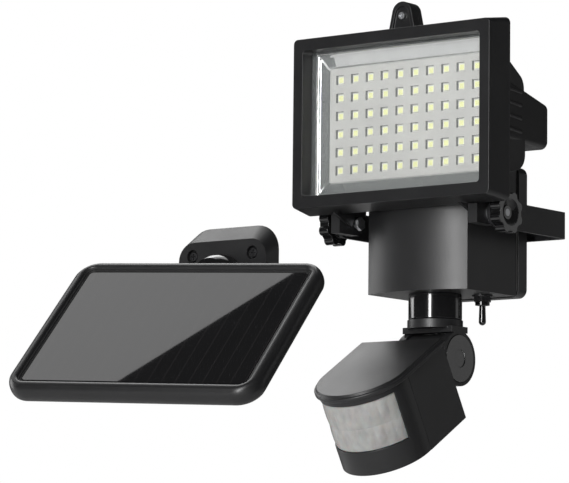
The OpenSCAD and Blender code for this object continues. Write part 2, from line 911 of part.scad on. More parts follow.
module sensor_cover() {
    color(black) in_sensor() difference() {
        union() {
            sensor_slice(-cover_lip, sensor_high, sensor_high + cover_h - 2, -sensor_nose - 9, 0);
            sensor_slice(-cover_lip + 2, sensor_high + cover_h - 2 - tiny, sensor_high + cover_h,
                -sensor_nose - 9, 0);
        }
        sensor_slice(sensor_wall + 1, sensor_high - 1, sensor_high + cover_h - 3, -sensor_nose - 9, 0);
    }
}

module sensor_board() {
    color("#1f6b3a") in_sensor() translate([-28, -88, sensor_low + 8]) cube([56, 46, 1.6]);
    color("#1f6b3a") in_sensor() translate([-12, -96, sensor_low + 8]) cube([24, 1.6, 36]);
}

module pyro_sensor() {
    color("#aeb2b6") in_sensor() translate([0, -96 - tiny, lens_z + 12]) rotate([90, 0, 0]) {
        cylinder(h = 0.8, r = 5);
        cylinder(h = 4.2, r = 4.6);
    }
}

module sensor_screws() {
    color(steel) in_sensor() for (x = [-1, 1], y = [-44, -78])
        translate([x * 30, y, sensor_low - 0.3]) rotate([180, 0, 0]) pan_screw(2.4, 0.1, 1.2, 0.2);
}

module dial() {
    difference() {
        translate([0, 0, -1]) cylinder(h = 9, r = dial_r);
        translate([0, 0, -1]) cube([2 * dial_r, 0.9, 1.6], center = true);
    }
}

module dial_time() {
    color("#c8c4b8") in_sensor() translate([dial_xs[0], dial_y, sensor_low]) dial();
}

module dial_lux() {
    color("#c8c4b8") in_sensor() translate([dial_xs[1], dial_y, sensor_low]) dial();
}

// ----------------------------------------------------------------- switch

module switch_body() {
    color("#3a3b3f") translate([switch_x, -switch_out, -box_drop]) difference() {
        union() {
            translate([-5.5, -6.5, box_wall]) cube([11, 13, 16]);
            translate([0, 0, -8]) cylinder(h = box_wall + 8 + tiny, r = bush_r);
        }
        translate([0, 0, -9]) cylinder(h = 12, r = lever_r + 1.4);
    }
}

module switch_nut() {
    color(steel) translate([switch_x, -switch_out, -box_drop]) difference() {
        union() {
            translate([0, 0, -1.2]) cylinder(h = 1.2, r = nut_r + 0.8);
            translate([0, 0, -1.2 - nut_t]) cylinder(h = nut_t + tiny, r = nut_r, $fn = 6);
        }
        translate([0, 0, -8]) cylinder(h = 9, r = bush_r + fit);
    }
}

module switch_lever() {
    color(dark) translate([switch_x, -switch_out, z_lever]) {
        sphere(lever_r + 0.6);
        translate([0, 0, -lever_l - 4 + lever_r]) cylinder(h = lever_l + 4 - lever_r, r1 = lever_r,
            r2 = lever_r - 0.5);
        translate([0, 0, -lever_l - 4 + lever_r]) sphere(lever_r);
    }
}

// ------------------------------------------------------------ solar panel

module frame_section(grow, z, t, r) {
    translate([0, 0, z]) linear_extrude(t)
        rounded(frame_out_w + 2 * grow, frame_out_h + 2 * grow, r + grow, $fn = hull_fn);
}

module panel_frame() {
    soft = 5;
    color(black) at_pane() difference() {
        hull() {
            frame_section(-soft, z_panel_back, frame_t, frame_r);
            frame_section(-1.5, z_panel_back + 2, frame_t - 4, frame_r);
            frame_section(0, z_panel_back + soft, frame_t - 2 * soft, frame_r);
        }
        translate([0, 0, z_pane]) linear_extrude(30) rounded(pane_w, pane_h, 4);
        translate([0, 0, z_panel_back - 1]) linear_extrude(40)
            rounded(pane_w - 2 * pane_lip, pane_h - 2 * pane_lip, 4);
        translate([0, 0, z_panel_back - 1]) linear_extrude(cover_t + 1)
            rounded(pane_w + 6, pane_h + 6, 8);
    }
}

module panel_glass() {
    color([0.1, 0.11, 0.13, 0.6]) at_pane() translate([0, 0, z_pane])
        linear_extrude(pane_t) rounded(pane_w - 0.6, pane_h - 0.6, 3.7);
}

module solar_cell() {
    color("#15161a") at_pane() translate([0, 0, z_pane - cell_t]) linear_extrude(cell_t)
        square([pane_w - 2 * pane_lip - 2, pane_h - 2 * pane_lip - 2], center = true);
}

module panel_back() {
    color(black) difference() {
        union() {
            at_pane() translate([0, 0, z_panel_back]) linear_extrude(cover_t)
                rounded(pane_w + 5.4, pane_h + 5.4, 7.7);
            in_panel() at_foot_screws() cylinder(h = 9, r = 3.5);
        }
        in_panel() at_foot_screws() translate([0, 0, -1]) cylinder(h = 8, r = 1.5);
        at_pane() translate([gland_side, gland_up, z_panel_back - 1]) cylinder(h = 5, r = 4 + fit);
    }
}

module panel_arm() {
    foot_end = foot_y - foot_l / 2;
    under = z_panel_back - gap / 3;
    color(black) in_panel() difference() {
        union() {
            rod_x(-tongue_t / 2, tongue_t, tongue_r);
            plate_x(-tongue_t / 2, tongue_t) polygon([[0, -tongue_r], [0, tongue_r], [-40, 8],
                [-62, under], [foot_end + 2, under], [foot_end + 2, under - 6],
                [-60, -tongue_r + 1]]);
            translate([-foot_w / 2, foot_end, under - foot_t]) cube([foot_w, foot_l, foot_t]);
        }
        rod_x(-20, 40, pin_ball_r + fit);
        at_foot_screws() translate([0, 0, -foot_t - 2]) cylinder(h = 8, r = 1.7);
    }
}

module arm_screws() {
    color(steel) in_panel() at_foot_screws() translate([0, 0, -foot_t - 2.2])
        rotate([180, 0, 0]) pan_screw(3, 2.1, 1.4, 9);
}

module panel_gland() {
    color(black) at_pane() translate([gland_side, gland_up, z_panel_back]) rotate([180, 0, 0])
        difference() {
            union() {
                cylinder(h = 2, r = 5.6, $fn = 6);
                cylinder(h = 9, r1 = 4.6, r2 = 3.6);
                translate([0, 0, -4]) cylinder(h = 4 + tiny, r = 4);
            }
            translate([0, 0, -6]) cylinder(h = 20, r = 1.9);
        }
}

// ------------------------------------------------------------- panel base

module base_slab(w, h, r, y, t) {
    plate_y(y, t) rounded(w, h, r, $fn = hull_fn);
}

module base_holes(r, y, l) {
    for (s = [-1, 1]) translate([s * base_gap / 2, 0, -base_screw_z]) rod_y(y, l, r);
}

module panel_base() {
    y_face = ball_out - base_d;
    y_plate = ball_out - plate_t;
    color(black) at_ball() difference() {
        union() {
            hull() {
                base_slab(base_w, base_h, 16, y_face, 1);
                base_slab(base_w + 2, base_h + 2 * base_draft, 22, y_plate - 1, 1);
            }
            intersection() {
                rotate([90, 0, 0]) sphere(ball_r + gap + shell_t);
                translate([-60, 0, -60]) cube([120, y_plate, 120]);
            }
        }
        sphere(ball_r + gap / 3);
        translate([-90, y_plate, -90]) cube([180, 20, 180]);
        base_holes(2.6, -5, 50);
        base_holes(5.8, y_face - 1, 5);
        mirror([0, 0, 1]) base_holes(1.8, -5, 50);
        mirror([0, 0, 1]) base_holes(5.8, y_face - 1, 5);
    }
}

module wall_plate() {
    color("#55585c") at_ball() difference() {
        base_slab(base_w - 6, base_h + 2 * base_draft - 8, 18, ball_out - plate_t, plate_t);
        base_holes(2.6, ball_out - 10, 20);
        mirror([0, 0, 1]) base_holes(1.6, ball_out - 10, 20);
    }
}

module base_screws() {
    color("#3a3b3e") at_ball() mirror([0, 0, 1]) for (s = [-1, 1])
        translate([s * base_gap / 2, ball_out - base_d + 1.4, -base_screw_z]) rotate([90, 0, 0])
            pan_screw(4.6, 2.6, 1.6, base_d - 4.6);
}

module socket_ring() {
    outer = ball_r + gap + shell_t;
    color(dark) at_ball() difference() {
        sphere(outer);
        sphere(ball_r + gap / 3);
        translate([-50, -gap / 3, -50]) cube([100, 100, 100]);
        translate([-window_half, -50, -50]) cube([2 * window_half, 50, 58]);
        translate([-50, -50 - ball_r * 0.72, -50]) cube([100, 50, 100]);
    }
}

module pivot_ball() {
    color(dark) in_panel() difference() {
        sphere(ball_r);
        translate([-tongue_t / 2 - 0.2, -50, -50]) cube([tongue_t + 0.4, 50 + tongue_r + 1, 100]);
        rod_x(-50, 100, pin_ball_r + fit);
    }
}

module ball_pin() {
    color(steel) in_panel() rod_x(-ball_r + 3, 2 * ball_r - 6, pin_ball_r);
}

bracket();
housing();
bezel();
glass_gasket();
glass();
reflector();
led_mask();
led_board();
leds();
board_screws();
tab_screw();
pivot_bolts();
pivot_washers();
lamp_gland();
knob_left();
knob_right();
knob_nuts_left();
knob_nuts_right();
box_front();
box_back();
box_seal();
box_screws();
battery();
battery_shelf();
charge_board();
board_parts();
box_gland();
charge_socket();
sensor_collar();
collar_nut();
swivel_fork();
hinge_cap();
hinge_pin();
sensor_rear();
sensor_front();
sensor_cover();
sensor_lens();
sensor_board();
pyro_sensor();
sensor_screws();
dial_time();
dial_lux();
switch_body();
switch_nut();
switch_lever();
panel_frame();
panel_glass();
solar_cell();
panel_back();
panel_arm();
arm_screws();
panel_gland();
panel_base();
wall_plate();
base_screws();
socket_ring();
pivot_ball();
ball_pin();
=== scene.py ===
"""Solar flood light: lamp head, battery box, motion sensor and solar panel on a wall.

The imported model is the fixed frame. Each sub-assembly here is a class that builds the moulded
pieces over it and dresses them with procedural finishes.
"""

import json
import logging
import math
from dataclasses import dataclass, field
from enum import Enum

import bmesh
import bpy
from mathutils import Matrix, Vector

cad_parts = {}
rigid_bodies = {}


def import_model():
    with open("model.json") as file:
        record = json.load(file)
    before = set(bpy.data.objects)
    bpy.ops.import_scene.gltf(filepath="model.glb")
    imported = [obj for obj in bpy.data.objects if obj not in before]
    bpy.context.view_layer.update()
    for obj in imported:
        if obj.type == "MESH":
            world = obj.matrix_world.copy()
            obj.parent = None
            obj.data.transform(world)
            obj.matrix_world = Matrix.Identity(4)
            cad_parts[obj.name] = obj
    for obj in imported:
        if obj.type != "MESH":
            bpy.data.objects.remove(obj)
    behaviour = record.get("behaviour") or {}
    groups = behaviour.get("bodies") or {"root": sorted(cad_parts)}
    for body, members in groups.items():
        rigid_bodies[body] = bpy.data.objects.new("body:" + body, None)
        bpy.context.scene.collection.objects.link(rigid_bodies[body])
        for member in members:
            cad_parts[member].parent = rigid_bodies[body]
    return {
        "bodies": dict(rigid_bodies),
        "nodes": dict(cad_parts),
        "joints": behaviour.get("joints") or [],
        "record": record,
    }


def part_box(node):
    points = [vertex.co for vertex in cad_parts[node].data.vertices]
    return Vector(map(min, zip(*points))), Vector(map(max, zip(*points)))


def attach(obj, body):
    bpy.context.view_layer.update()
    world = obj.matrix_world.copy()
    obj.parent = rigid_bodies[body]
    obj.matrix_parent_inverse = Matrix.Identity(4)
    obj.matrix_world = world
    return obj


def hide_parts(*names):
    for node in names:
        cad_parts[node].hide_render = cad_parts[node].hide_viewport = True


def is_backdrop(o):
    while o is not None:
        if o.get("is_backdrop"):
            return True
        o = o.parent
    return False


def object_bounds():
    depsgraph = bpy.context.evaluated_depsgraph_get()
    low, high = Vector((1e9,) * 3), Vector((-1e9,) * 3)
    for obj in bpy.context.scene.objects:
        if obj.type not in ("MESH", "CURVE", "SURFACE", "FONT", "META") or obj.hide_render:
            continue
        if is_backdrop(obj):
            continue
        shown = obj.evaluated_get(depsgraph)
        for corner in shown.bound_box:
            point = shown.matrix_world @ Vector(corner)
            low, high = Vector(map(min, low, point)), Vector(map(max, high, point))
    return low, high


logging.basicConfig(level=logging.INFO, format="%(levelname)s %(name)s: %(message)s")
LOG = logging.getLogger("flood_light")

Colour = tuple[float, float, float]
MM = 0.001


# ------------------------------------------------------------------ shader maths


class Socket:
    """One output of a shader node, with arithmetic that adds Math nodes."""

    def __init__(self, sheet: "Sheet", link: bpy.types.NodeSocket) -> None:
        """Wraps a node's output.

        Args:
            sheet: The node sheet it belongs to.
            link: The output itself.
        """
        self.sheet = sheet
        self.link = link

    def _math(self, operation: str, first: "Socket | float", second: "Socket | float") -> "Socket":
        """Adds one Math node.

        Args:
            operation: The Math node's operation.
            first: The first operand.
            second: The second operand.

        Returns:
            The node's result.
        """
        made = self.sheet.add("ShaderNodeMath", {"operation": operation}, {0: first, 1: second})
        return made["Value"]

    def __add__(self, other: "Socket | float") -> "Socket":
        """Adds."""
        return self._math("ADD", self, other)

    def __radd__(self, other: float) -> "Socket":
        """Adds, reflected."""
        return self._math("ADD", other, self)

    def __sub__(self, other: "Socket | float") -> "Socket":
        """Subtracts."""
        return self._math("SUBTRACT", self, other)

    def __rsub__(self, other: float) -> "Socket":
        """Subtracts, reflected."""
        return self._math("SUBTRACT", other, self)

    def __mul__(self, other: "Socket | float") -> "Socket":
        """Multiplies."""
        return self._math("MULTIPLY", self, other)

    def __rmul__(self, other: float) -> "Socket":
        """Multiplies, reflected."""
        return self._math("MULTIPLY", other, self)

    def __mod__(self, other: float) -> "Socket":
        """Takes the remainder."""
        return self._math("FLOORED_MODULO", self, other)

    def below(self, limit: float) -> "Socket":
        """Gives 1 where the value is under the limit, and 0 elsewhere."""
        return self._math("LESS_THAN", self, limit)


class Made:
    """A node that was just added; its outputs are read by name."""

    def __init__(self, sheet: "Sheet", node: bpy.types.Node) -> None:
        """Keeps the node and its sheet."""
        self.sheet = sheet
        self.node = node

    def __getitem__(self, output: str | int) -> Socket:
        """Gives one output as a Socket."""
        return Socket(self.sheet, self.node.outputs[output])


class Sheet:
    """The node tree of one material."""

    def __init__(self, name: str) -> None:
        """Makes a material with an empty tree, a surface shader and an output.

        Args:
            name: The material's name.
        """
        self.material = bpy.data.materials.new(name)
        self.material.use_nodes = True
        self.tree = self.material.node_tree
        self.tree.nodes.clear()
        self.surface = self.tree.nodes.new("ShaderNodeBsdfPrincipled")
        self.output = self.tree.nodes.new("ShaderNodeOutputMaterial")
        self.tree.links.new(self.surface.outputs[0], self.output.inputs[0])

    def add(self, kind: str, settings: dict, inputs: dict) -> Made:
        """Adds any node.

        Args:
            kind: The node's type.
            settings: Attributes of the node; "stops" fills a colour ramp.
            inputs: Values or Sockets by input name or number.

        Returns:
            The node, with its outputs by name.
        """
        node = self.tree.nodes.new(kind)
        for key, value in settings.items():
            if key == "stops":
                self._stops(node.color_ramp, value)
            else:
                setattr(node, key, value)
        for key, value in inputs.items():
            self.put(node.inputs[key], value)
        return Made(self, node)

    @staticmethod
    def _stops(ramp: bpy.types.ColorRamp, stops: list[tuple[float, Colour]]) -> None:
        """Fills a colour ramp.

        Args:
            ramp: The ramp.
            stops: Places from 0 to 1 with their colours.
        """
        while len(ramp.elements) < len(stops):
            ramp.elements.new(1.0)
        for element, (place, colour) in zip(ramp.elements, stops):
            element.position = place
            element.color = (*colour, 1.0)

    def put(self, socket: bpy.types.NodeSocket, value: object) -> None:
        """Links or sets one input.

        Args:
            socket: The input.
            value: A Socket, a number or a colour.
        """
        if isinstance(value, Socket):
            self.tree.links.new(value.link, socket)
        elif isinstance(value, tuple) and len(value) == 3 and len(socket.default_value) == 4:
            socket.default_value = (*value, 1.0)
        else:
            socket.default_value = value

    def shade(self, **inputs: object) -> None:
        """Sets the surface shader's inputs; an underscore stands for a space."""
        for key, value in inputs.items():
            self.put(self.surface.inputs[key.replace("_", " ")], value)

    def place(self) -> Made:
        """Gives texture coordinates in metres, in the object's own frame."""
        return self.add("ShaderNodeTexCoord", {}, {})

    def noise(self, scale: float, detail: float = 3.0, stretch: Colour = (1, 1, 1)) -> Socket:
        """Adds a noise.

        Args:
            scale: Cells per metre.
            detail: Octaves.
            stretch: Scale along each axis.

        Returns:
            The noise, from 0 to 1.
        """
        where = self.place()["Object"]
        if stretch != (1, 1, 1):
            where = self.add("ShaderNodeMapping", {}, {"Vector": where, "Scale": stretch})[0]
        made = self.add(
            "ShaderNodeTexNoise", {}, {"Vector": where, "Scale": scale, "Detail": detail}
        )
        return made["Fac"]

    def mix(self, share: Socket | float, first: object, second: object) -> Socket:
        """Mixes two colours.

        Args:
            share: How much of the second.
            first: The first colour.
            second: The second colour.

        Returns:
            The mixed colour.
        """
        made = self.add("ShaderNodeMix", {"data_type": "RGBA"}, {0: share, 6: first, 7: second})
        return made[2]

    def bump(self, height: Socket, strength: float, depth: float) -> None:
        """Feeds a bump into the surface's Normal.

        Args:
            height: The height map.
            strength: The bump's strength.
            depth: The full height in metres.
        """
        made = self.add(
            "ShaderNodeBump", {}, {"Height": height, "Strength": strength, "Distance": depth}
        )
        self.shade(Normal=made["Normal"])


# ---------------------------------------------------------------------- finishes


@dataclass(frozen=True)
class Moulded:
    """Injection-moulded plastic with a spark-eroded grain."""

    name: str
    colour: Colour
    rough: float
    grain: float = 1500.0
    depth: float = 0.00005
    strength: float = 0.35
    coat: float = 0.0

    def material(self) -> bpy.types.Material:
        """Makes the material."""
        sheet = Sheet(self.name)
        grain = sheet.noise(self.grain, 4.0)
        cloud = sheet.noise(28.0, 3.0)
        streak = sheet.noise(90.0, 2.0, (1.0, 1.0, 0.2))
        pale = tuple(min(1.0, c * 1.55 + 0.003) for c in self.colour)
        sheet.shade(
            Base_Color=sheet.mix(cloud * 0.7 + grain * 0.3, self.colour, pale),
            Roughness=self.rough - 0.08 + cloud * 0.08 + streak * 0.05 + grain * 0.06,
            Coat_Weight=self.coat,
            Coat_Roughness=0.08,
        )
        sheet.bump(grain, self.strength, self.depth)
        return sheet.material


@dataclass(frozen=True)
class Painted:
    """Powder-coated sheet steel with an orange-peel skin."""

    name: str
    colour: Colour
    rough: float

    def material(self) -> bpy.types.Material:
        """Makes the material."""
        sheet = Sheet(self.name)
        peel = sheet.noise(650.0, 2.0)
        fine = sheet.noise(2600.0, 2.0)
        sheet.shade(
            Base_Color=sheet.mix(fine, self.colour, tuple(c * 1.6 for c in self.colour)),
            Roughness=self.rough - 0.05 + peel * 0.12,
        )
        sheet.bump(peel * 0.7 + fine * 0.3, 0.4, 0.00008)
        return sheet.material


@dataclass(frozen=True)
class Metal:
    """Plated, brushed or turned metal."""

    name: str
    colour: Colour
    rough: float
    brush: Colour = (1.0, 1.0, 1.0)
    ripple: float = 0.1

    def material(self) -> bpy.types.Material:
        """Makes the material."""
        sheet = Sheet(self.name)
        lines = sheet.noise(1800.0, 3.0, self.brush)
        stain = sheet.noise(60.0, 3.0)
        dull = tuple(c * 0.82 for c in self.colour)
        sheet.shade(
            Base_Color=sheet.mix(stain, self.colour, dull),
            Roughness=self.rough + lines * (self.rough * 0.6),
            Metallic=1.0,
        )
        sheet.bump(lines, self.ripple, 0.00002)
        return sheet.material


@dataclass(frozen=True)
class Rubber:
    """Soft black rubber with a dusty bloom."""

    name: str = "seal_rubber"

    def material(self) -> bpy.types.Material:
        """Makes the material."""
        sheet = Sheet(self.name)
        bloom = sheet.noise(120.0, 5.0)
        sheet.shade(
            Base_Color=sheet.mix(bloom, (0.018, 0.018, 0.018), (0.05, 0.05, 0.048)),
            Roughness=0.7 + bloom * 0.2,
        )
        sheet.bump(sheet.noise(2200.0), 0.4, 0.00005)
        return sheet.material


@dataclass(frozen=True)
class Board:
    """Circuit board lacquer over copper tracks."""

    name: str
    lacquer: Colour
    track: Colour

    def material(self) -> bpy.types.Material:
        """Makes the material."""
        sheet = Sheet(self.name)
        axes = sheet.add("ShaderNodeSeparateXYZ", {}, {"Vector": sheet.place()["Object"]})
        along = ((axes["Z"] % 0.0049).below(0.0032)) * ((axes["X"] % 0.0147).below(0.0138))
        speck = sheet.noise(900.0)
        colour = sheet.mix(along * 0.55, self.lacquer, self.track)
        sheet.shade(
            Base_Color=sheet.mix(speck * 0.25, colour, (0.5, 0.5, 0.48)),
            Roughness=0.38 + speck * 0.12,
        )
        sheet.bump(along, 0.3, 0.00003)
        return sheet.material


@dataclass(frozen=True)
class Phosphor:
    """Yellow phosphor gel in an LED's well."""

    name: str = "led_phosphor"

    def material(self) -> bpy.types.Material:
        """Makes the material."""
        sheet = Sheet(self.name)
        grain = sheet.noise(5000.0)
        sheet.shade(
            Base_Color=sheet.mix(grain, (0.70, 0.73, 0.30), (0.82, 0.83, 0.42)),
            Roughness=0.25 + grain * 0.15,
            Emission_Color=(0.75, 0.78, 0.25),
            Emission_Strength=0.06,
        )
        sheet.bump(grain, 0.2, 0.00002)
        return sheet.material


@dataclass(frozen=True)
class ClearPane:
    """Thin clear glass that lets light straight through."""

    name: str = "lamp_glass"

    def material(self) -> bpy.types.Material:
        """Makes the material."""
        sheet = Sheet(self.name)
        haze = sheet.noise(35.0, 4.0)
        sheet.shade(
            Base_Color=(0.9, 0.95, 0.95),
            Roughness=0.02 + haze * 0.03,
            Alpha=0.07 + haze * 0.02,
            IOR=1.5,
        )
        return sheet.material


@dataclass(frozen=True)
class SolarPane:
    """Polished glass laminated over a dark thin-film cell with fine scribe lines."""

    name: str = "solar_pane"
    stripe: float = 0.0125

    def material(self) -> bpy.types.Material:
        """Makes the material."""
        sheet = Sheet(self.name)
        where = sheet.place()["Object"]
        turned = sheet.add(
            "ShaderNodeMapping",
            {"vector_type": "TEXTURE"},
            {"Vector": where, "Rotation": (0.0, 0.0, math.radians(9.3))},
        )
        axes = sheet.add("ShaderNodeSeparateXYZ", {}, {"Vector": turned[0]})
        line = (axes["X"] % self.stripe).below(0.0005)
        cloud = sheet.noise(22.0, 4.0)
        cell = sheet.mix(cloud, (0.004, 0.004, 0.0045), (0.008, 0.0078, 0.0085))
        sheet.shade(
            Base_Color=sheet.mix(line, cell, (0.022, 0.02, 0.021)),
            Roughness=0.012 + cloud * 0.006,
            Coat_Weight=0.25,
            Coat_Roughness=0.01,
            IOR=1.52,
        )
        return sheet.material


@dataclass(frozen=True)
class MilkyLens:
    """Milky polyethylene with moulded ring grooves."""

    name: str = "sensor_lens_milk"

    def material(self) -> bpy.types.Material:
        """Makes the material."""
        sheet = Sheet(self.name)
        cloud = sheet.noise(70.0, 4.0)
        column = sheet.noise(190.0, 2.0, (1.0, 1.0, 0.12))
        rings = sheet.add(
            "ShaderNodeTexWave",
            {"wave_type": "BANDS", "bands_direction": "Z", "wave_profile": "SAW"},
            {"Vector": sheet.place()["Object"], "Scale": 220.0, "Distortion": 0.0},
        )["Fac"]
        sheet.shade(
            Base_Color=sheet.mix(
                cloud * 0.5 + column * 0.5, (0.14, 0.138, 0.134), (0.52, 0.515, 0.50)
            ),
            Roughness=0.28 + cloud * 0.10,
            Subsurface_Weight=0.3,
            Subsurface_Scale=0.003,
            Coat_Weight=0.25,
            Coat_Roughness=0.12,
        )
        sheet.bump(rings * 0.5 + column, 0.35, 0.00015)
        return sheet.material


class Look(Enum):
    """Every finish of the lamp, by the part of the record's slots that it stands for."""

    BLACK = Moulded("satin_black_plastic", (0.009, 0.009, 0.0095), 0.38, 1100.0, 0.0001, 0.75)
    FRAME = Moulded("frame_black_plastic", (0.008, 0.008, 0.0085), 0.34, 1700.0, 0.00004, 0.35)
    BEZEL = Moulded("bezel_black_plastic", (0.007, 0.007, 0.0075), 0.33, 2000.0, 0.00003, 0.25)
    GLOSS = Moulded("gloss_black_plastic", (0.003, 0.003, 0.0033), 0.13, 2400.0, 0.00001, 0.15, 0.6)
    PAINT = Painted("bracket_paint", (0.010, 0.010, 0.011), 0.42)
    CHROME = Metal("reflector_chrome", (0.80, 0.80, 0.79), 0.035, (1.0, 1.0, 1.0), 0.02)
    STEEL = Metal("zinc_steel", (0.60, 0.61, 0.63), 0.28, (1.0, 0.2, 1.0))
    BRASS = Metal("turned_brass", (0.74, 0.58, 0.28), 0.25, (0.2, 1.0, 1.0))
    RUBBER = Rubber()
    MASK = Moulded("pale_mask_plastic", (0.33, 0.326, 0.31), 0.42, 1600.0, 0.00003, 0.3)
    # Dark copy of the pale mask plastic for the window walls: painted shade.
    MASK_WALL_PAINTED_SHADE = Moulded("painted_shade_window_wall", (0.05, 0.05, 0.045), 0.5, 1600.0, 0.00003, 0.3)
    # Darker, rougher copy of the frame plastic for the pane's stepped lip; the darker colour is
    # painted shade.
    LIP_PAINTED_SHADE = Moulded("pane_lip_painted_shade", (0.003, 0.003, 0.0033), 0.6, 1700.0, 0.00004, 0.35)
    CERAMIC = Moulded("led_ceramic", (0.74, 0.76, 0.55), 0.40, 3000.0, 0.00002, 0.2)
    WHITE_BOARD = Board("white_board", (0.70, 0.69, 0.64), (0.80, 0.79, 0.74))
    GREEN_BOARD = Board("green_board", (0.02, 0.16, 0.06), (0.05, 0.26, 0.11))
    PHOSPHOR = Phosphor()
    GLASS = ClearPane()
    PANE = SolarPane()
    LENS = MilkyLens()
    DIAL = Moulded("dial_cream", (0.62, 0.59, 0.50), 0.35)
    BATTERY = Moulded("battery_grey", (0.06, 0.065, 0.075), 0.4)


SLOT_LOOKS: dict[str, Look] = {
    "black_plastic": Look.BLACK,
    "gloss_black": Look.GLOSS,
    "painted_black": Look.PAINT,
    "chrome": Look.CHROME,
    "clear_glass": Look.GLASS,
    "pane_glass": Look.PANE,
    "mask_white": Look.MASK,
    "board_white": Look.WHITE_BOARD,
    "led_yellow": Look.CERAMIC,
    "steel": Look.STEEL,
    "brass": Look.BRASS,
    "rubber": Look.RUBBER,
    "board_green": Look.GREEN_BOARD,
    "cell_black": Look.PANE,
    "lens_milky": Look.LENS,
    "dial_cream": Look.DIAL,
    "battery_grey": Look.BATTERY,
}


@dataclass
class Shelf:
    """The finishes made so far, so that each is made once."""

    made: dict[Look, bpy.types.Material] = field(default_factory=dict)

    def take(self, look: Look) -> bpy.types.Material:
        """Gives the material of a look, making it on first use.

        Args:
            look: Which finish.

        Returns:
            The material.
        """
        if look not in self.made:
            self.made[look] = look.value.material()
        return self.made[look]


# ----------------------------------------------------------------- mesh workshop


@dataclass
class Workshop:
    """Makes pieces over the frame and fits them to their bodies."""

    frame: dict
    shelf: Shelf

    def __post_init__(self) -> None:
        """Looks up each CAD node's body and slot."""
        record = self.frame["record"]
        self.body = {n: b for b, ns in record["behaviour"]["bodies"].items() for n in ns}
        self.slot = {p["node"]: p["material_slot"] for p in record["subparts"]}

    def stand(
        self, mesh: bpy.types.Mesh, name: str, body: str, look: Look, slot: str, *nodes: str
    ) -> bpy.types.Object:
        """Puts a finished mesh in the scene as a piece.

        Args:
            mesh: The mesh, in the row frame.
            name: The piece's name.
            body: The body it rides on.
            look: Its finish.
            slot: The record's material slot; not used.
            *nodes: CAD nodes it stands for.

        Returns:
            The piece.
        """
        piece = bpy.data.objects.new(name, mesh)
        bpy.context.scene.collection.objects.link(piece)
        mesh.materials.clear()
        mesh.materials.append(self.shelf.take(look))
        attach(piece, body)
        if nodes:
            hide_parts(*nodes)
        LOG.info("%s rides on %s", name, body)
        return piece

    def soften(
        self, piece: bpy.types.Object, radius: float, steps: int = 3, angle: float = 34
    ) -> None:
        """Rounds a piece's edges.

        Args:
            piece: The piece.
            radius: The rounding in millimetres.
            steps: Segments across the rounding.
            angle: Edges flatter than this stay, in degrees.
        """
        bevel = piece.modifiers.new("rounding", "BEVEL")
        bevel.width = radius * MM
        bevel.segments = steps
        bevel.limit_method = "ANGLE"
        bevel.angle_limit = math.radians(angle)
        bevel.use_clamp_overlap = True
        bevel.harden_normals = False
        bevel.miter_outer = "MITER_ARC"
        weigh = piece.modifiers.new("even_shading", "WEIGHTED_NORMAL")
        weigh.keep_sharp = False
        weigh.weight = 80

    def moulding(
        self,
        node: str,
        name: str,
        look: Look,
        radius: float,
        angle: float = 34,
        steps: int = 3,
    ) -> bpy.types.Object:
        """Copies a CAD node into a piece with rounded edges.

        Args:
            node: The CAD node that the piece stands for.
            name: The piece's name.
            look: Its finish.
            radius: The rounding in millimetres.
            angle: Edges flatter than this stay, in degrees.
            steps: Segments across the rounding.

        Returns:
            The piece.
        """
        shape = bmesh.new()
        shape.from_mesh(self.frame["nodes"][node].data)
        bmesh.ops.remove_doubles(shape, verts=shape.verts, dist=0.000004)
        bmesh.ops.dissolve_limit(
            shape, angle_limit=math.radians(0.4), verts=shape.verts, edges=shape.edges
        )
        bmesh.ops.recalc_face_normals(shape, faces=shape.faces)
        for face in shape.faces:
            face.smooth = True
        mesh = bpy.data.meshes.new(name)
        shape.to_mesh(mesh)
        shape.free()
        piece = self.stand(mesh, name, self.body[node], look, self.slot[node], node)
        self.soften(piece, radius, steps, angle)
        return piece

    def loft(self, name: str, rings: list[list[Vector]]) -> bpy.types.Mesh:
        """Makes a skin over closed rings with the same number of points; the last joins the first.

        Args:
            name: The mesh's name.
            rings: The rings in order.

        Returns:
            The mesh.
        """
        shape = bmesh.new()
        rows = [[shape.verts.new(p) for p in ring] for ring in rings]
        count = len(rows[0])
        for low, high in zip(rows, rows[1:] + rows[:1]):
            for i in range(count):
                k = (i + 1) % count
                shape.faces.new((low[i], low[k], high[k], high[i]))
        bmesh.ops.recalc_face_normals(shape, faces=shape.faces)
        for face in shape.faces:
            face.smooth = True
        mesh = bpy.data.meshes.new(name)
        shape.to_mesh(mesh)
        shape.free()
        return mesh

    def dress_rest(self) -> None:
        """Gives every CAD node a finish from its slot, whether it shows or not."""
        for node, obj in self.frame["nodes"].items():
            look = SLOT_LOOKS[self.slot[node]]
            material = self.shelf.take(look)
            if not obj.material_slots:
                obj.data.materials.append(material)
            for place in obj.material_slots:
                place.material = material


# ----------------------------------------------------------------- sub-assemblies


